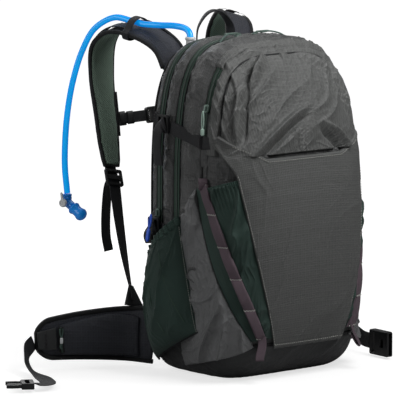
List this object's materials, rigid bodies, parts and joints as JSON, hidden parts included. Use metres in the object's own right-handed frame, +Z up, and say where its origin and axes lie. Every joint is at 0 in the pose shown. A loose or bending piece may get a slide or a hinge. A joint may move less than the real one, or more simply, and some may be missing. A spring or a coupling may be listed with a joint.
{
  "type": "hydration pack",
  "caption": "Arched daypack with zipped bands, overflow and bottle pockets, harness straps, hip wings, and an inner reservoir with a drinking tube.",
  "frame": {"origin": "on the floor, in the middle of the flat base", "axes": "+Z up, +Y towards the wearer, -Y the outer front, +X the right side when looking at the front"},
  "size_m": [0.6159, 0.4368, 0.5255],
  "materials": {
    "ripstop": "matte ripstop, fine grid",
    "side_cloth": "coated woven nylon",
    "base_cloth": "coarse dark nylon",
    "zip_tape": "dark green zip tape with a coil under it",
    "stretch": "dark green four-way stretch",
    "pad": "padded, dark outer cloth and grey-green air mesh inside",
    "back_pad": "moulded foam under air mesh",
    "webbing": "black ribbed webbing",
    "daisy": "mauve-grey webbing",
    "sleeve": "thin lining",
    "black_plastic": "moulded black acetal",
    "grey_plastic": "light grey moulding",
    "blue_plastic": "blue moulding",
    "blue_rubber": "soft blue silicone",
    "slider_metal": "silver-green painted zinc",
    "clear_blue": "translucent blue polyurethane"
  },
  "bodies": {
    "pack": {"stash_panel": "ripstop", "overflow_panel": "ripstop", "rear_gusset": "side_cloth", "middle_gusset": "side_cloth", "front_gusset": "side_cloth", "lower_front": "side_cloth", "base_panel": "base_cloth", "zip_reservoir": "zip_tape", "zip_main": "zip_tape", "zip_stash": "zip_tape", "overflow_gusset_L": "stretch", "overflow_gusset_R": "stretch", "bottle_pocket_L": "stretch", "bottle_pocket_R": "stretch", "back_panel": "back_pad", "compression_strap_upper_L": "webbing", "compression_strap_upper_R": "webbing", "compression_strap_lower_L": "webbing", "compression_strap_lower_R": "webbing", "daisy_chain_L": "daisy", "daisy_chain_R": "daisy", "reservoir_sleeve": "sleeve", "framesheet": "black_plastic", "tube_port": "grey_plastic", "hose_connector": "blue_plastic", "reservoir_bag": "clear_blue"},
    "strap_left": {"shoulder_strap_L": "pad", "strap_webbing_L": "webbing", "tube_keeper": "webbing", "drink_tube": "clear_blue", "shutoff_body": "blue_plastic"},
    "strap_right": {"shoulder_strap_R": "pad", "strap_webbing_R": "webbing"},
    "strap_lock_left": {"strap_ladder_lock_L": "black_plastic"},
    "strap_lock_right": {"strap_ladder_lock_R": "black_plastic"},
    "sternum_left": {"sternum_strap_L": "webbing"},
    "sternum_socket": {"sternum_buckle_female": "black_plastic"},
    "sternum_right": {"sternum_strap_R": "webbing"},
    "sternum_plug": {"sternum_buckle_male": "black_plastic"},
    "wing_left": {"hip_wing_L": "pad", "hip_webbing_L": "webbing"},
    "hip_plug": {"hip_buckle_male": "black_plastic"},
    "wing_right": {"hip_wing_R": "pad", "hip_webbing_R": "webbing"},
    "hip_socket": {"hip_buckle_female": "black_plastic"},
    "lock_upper_left": {"ladder_lock_upper_L": "black_plastic"},
    "lock_upper_right": {"ladder_lock_upper_R": "black_plastic"},
    "lock_lower_left": {"ladder_lock_lower_L": "black_plastic"},
    "lock_lower_right": {"ladder_lock_lower_R": "black_plastic"},
    "grab": {"grab_handle": "webbing"},
    "lever": {"shutoff_lever": "grey_plastic"},
    "bite": {"bite_valve": "blue_rubber"},
    "cap": {"reservoir_cap": "blue_plastic"},
    "reservoir_slider": {"slider_reservoir": "slider_metal"},
    "reservoir_pull": {"pull_reservoir": "blue_plastic"},
    "main_slider_left": {"slider_main_L": "slider_metal"},
    "main_slider_right": {"slider_main_R": "slider_metal"},
    "stash_slider": {"slider_stash": "slider_metal"},
    "stash_pull": {"pull_stash": "zip_tape"}
  },
  "joints": [
    {"name": "strap_left_swing", "type": "hinge", "parent": "pack", "child": "strap_left", "pos_m": [-0.066, 0.09, 0.438], "axis": [1, 0, 0], "range_deg": [0, 35], "deforming": ["drink_tube"]},
    {"name": "strap_right_swing", "type": "hinge", "parent": "pack", "child": "strap_right", "pos_m": [0.066, 0.09, 0.438], "axis": [1, 0, 0], "range_deg": [0, 35]},
    {"name": "strap_lock_left_tilt", "type": "hinge", "parent": "strap_left", "child": "strap_lock_left", "pos_m": [-0.08688, 0.21465, 0.27628], "axis": [0.9784, -0.101, -0.1801], "range_deg": [-20, 20], "stiffness_Nm_per_rad": 0.05},
    {"name": "strap_lock_right_tilt", "type": "hinge", "parent": "strap_right", "child": "strap_lock_right", "pos_m": [0.1013, 0.1982, 0.2759], "axis": [0.9893, 0.062, 0.132], "range_deg": [-20, 20], "stiffness_Nm_per_rad": 0.05},
    {"name": "sternum_left_height", "type": "slide", "parent": "strap_left", "child": "sternum_left", "axis": [-0.039, -0.2119, -0.9765], "range_m": [-0.02, 0.02], "stiffness_N_per_m": 200},
    {"name": "sternum_right_height", "type": "slide", "parent": "strap_right", "child": "sternum_right", "axis": [-0.13, -0.094, -0.987], "range_m": [-0.02, 0.02], "stiffness_N_per_m": 200},
    {"name": "sternum_socket_swing", "type": "hinge", "parent": "sternum_left", "child": "sternum_socket", "pos_m": [-0.01035, 0.23091, 0.3536], "axis": [0.018, -0.2229, -0.9747], "range_deg": [-30, 30], "stiffness_Nm_per_rad": 0.02},
    {"name": "sternum_plug_swing", "type": "hinge", "parent": "sternum_right", "child": "sternum_plug", "pos_m": [0.05093, 0.21017, 0.34484], "axis": [0.451, -0.053, -0.891], "range_deg": [-30, 30], "stiffness_Nm_per_rad": 0.02},
    {"name": "shutoff_lever_turn", "type": "hinge", "parent": "strap_left", "child": "lever", "pos_m": [-0.11, 0.297, 0.222], "axis": [-0.9611, -0.276, 0], "range_deg": [0, 90], "stiffness_Nm_per_rad": 0.01},
    {"name": "bite_valve_turn", "type": "hinge", "parent": "strap_left", "child": "bite", "pos_m": [-0.11, 0.297, 0.222], "axis": [0.231, -0.8019, -0.551], "continuous": true},
    {"name": "hip_left_fold", "type": "hinge", "parent": "pack", "child": "wing_left", "pos_m": [-0.116, 0.081, 0.04], "axis": [0, 0, 1], "range_deg": [-50, 35]},
    {"name": "hip_right_fold", "type": "hinge", "parent": "pack", "child": "wing_right", "pos_m": [0.116, 0.081, 0.04], "axis": [0, 0, 1], "range_deg": [-5, 95]},
    {"name": "hip_plug_flip", "type": "hinge", "parent": "wing_left", "child": "hip_plug", "pos_m": [-0.37, 0.0412, 0.008], "axis": [0.5519, 0.8339, 0], "range_deg": [0, 60]},
    {"name": "hip_socket_flip", "type": "hinge", "parent": "wing_right", "child": "hip_socket", "pos_m": [0.1959, -0.0545, 0.021], "axis": [0, 0, 1], "range_deg": [0, 60]},
    {"name": "lock_upper_left_tilt", "type": "hinge", "parent": "pack", "child": "lock_upper_left", "pos_m": [-0.1384, 0.044, 0.369], "axis": [0, 0, 1], "range_deg": [-30, 0]},
    {"name": "lock_upper_right_tilt", "type": "hinge", "parent": "pack", "child": "lock_upper_right", "pos_m": [0.1384, 0.044, 0.369], "axis": [0, 0, 1], "range_deg": [0, 30]},
    {"name": "lock_lower_left_tilt", "type": "hinge", "parent": "pack", "child": "lock_lower_left", "pos_m": [-0.1416, 0.038, 0.216], "axis": [0, 0, 1], "range_deg": [0, 12]},
    {"name": "lock_lower_right_tilt", "type": "hinge", "parent": "pack", "child": "lock_lower_right", "pos_m": [0.1416, 0.062, 0.216], "axis": [0, 0, 1], "range_deg": [0, 30]},
    {"name": "grab_handle_fold", "type": "hinge", "parent": "pack", "child": "grab", "pos_m": [0, 0.081, 0.478], "axis": [1, 0, 0], "range_deg": [-60, 0], "stiffness_Nm_per_rad": 0.2},
    {"name": "reservoir_cap_turn", "type": "hinge", "parent": "pack", "child": "cap", "pos_m": [0, 0.013, 0.348], "axis": [0, 1, 0], "range_deg": [0, 90]},
    {"name": "reservoir_slider_run", "type": "slide", "parent": "pack", "child": "reservoir_slider", "axis": [0.0136, 0, 0.9999], "range_m": [0, 0.09]},
    {"name": "reservoir_pull_flip", "type": "hinge", "parent": "reservoir_slider", "child": "reservoir_pull", "pos_m": [-0.1485, 0.046, 0.235], "axis": [0, 1, 0], "range_deg": [0, 60]},
    {"name": "main_slider_left_run", "type": "slide", "parent": "pack", "child": "main_slider_left", "axis": [-0.9984, 0, -0.0559], "range_m": [0, 0.035], "stiffness_N_per_m": 20},
    {"name": "main_slider_right_run", "type": "slide", "parent": "pack", "child": "main_slider_right", "axis": [0.9984, 0, -0.0559], "range_m": [0, 0.035], "stiffness_N_per_m": 20},
    {"name": "stash_slider_run", "type": "slide", "parent": "pack", "child": "stash_slider", "axis": [0.2487, 0, 0.9686], "range_m": [0, 0.019]},
    {"name": "stash_pull_flip", "type": "hinge", "parent": "stash_slider", "child": "stash_pull", "pos_m": [-0.136, -0.054, 0.395], "axis": [0, 1, 0], "range_deg": [0, 75]}
  ]
}
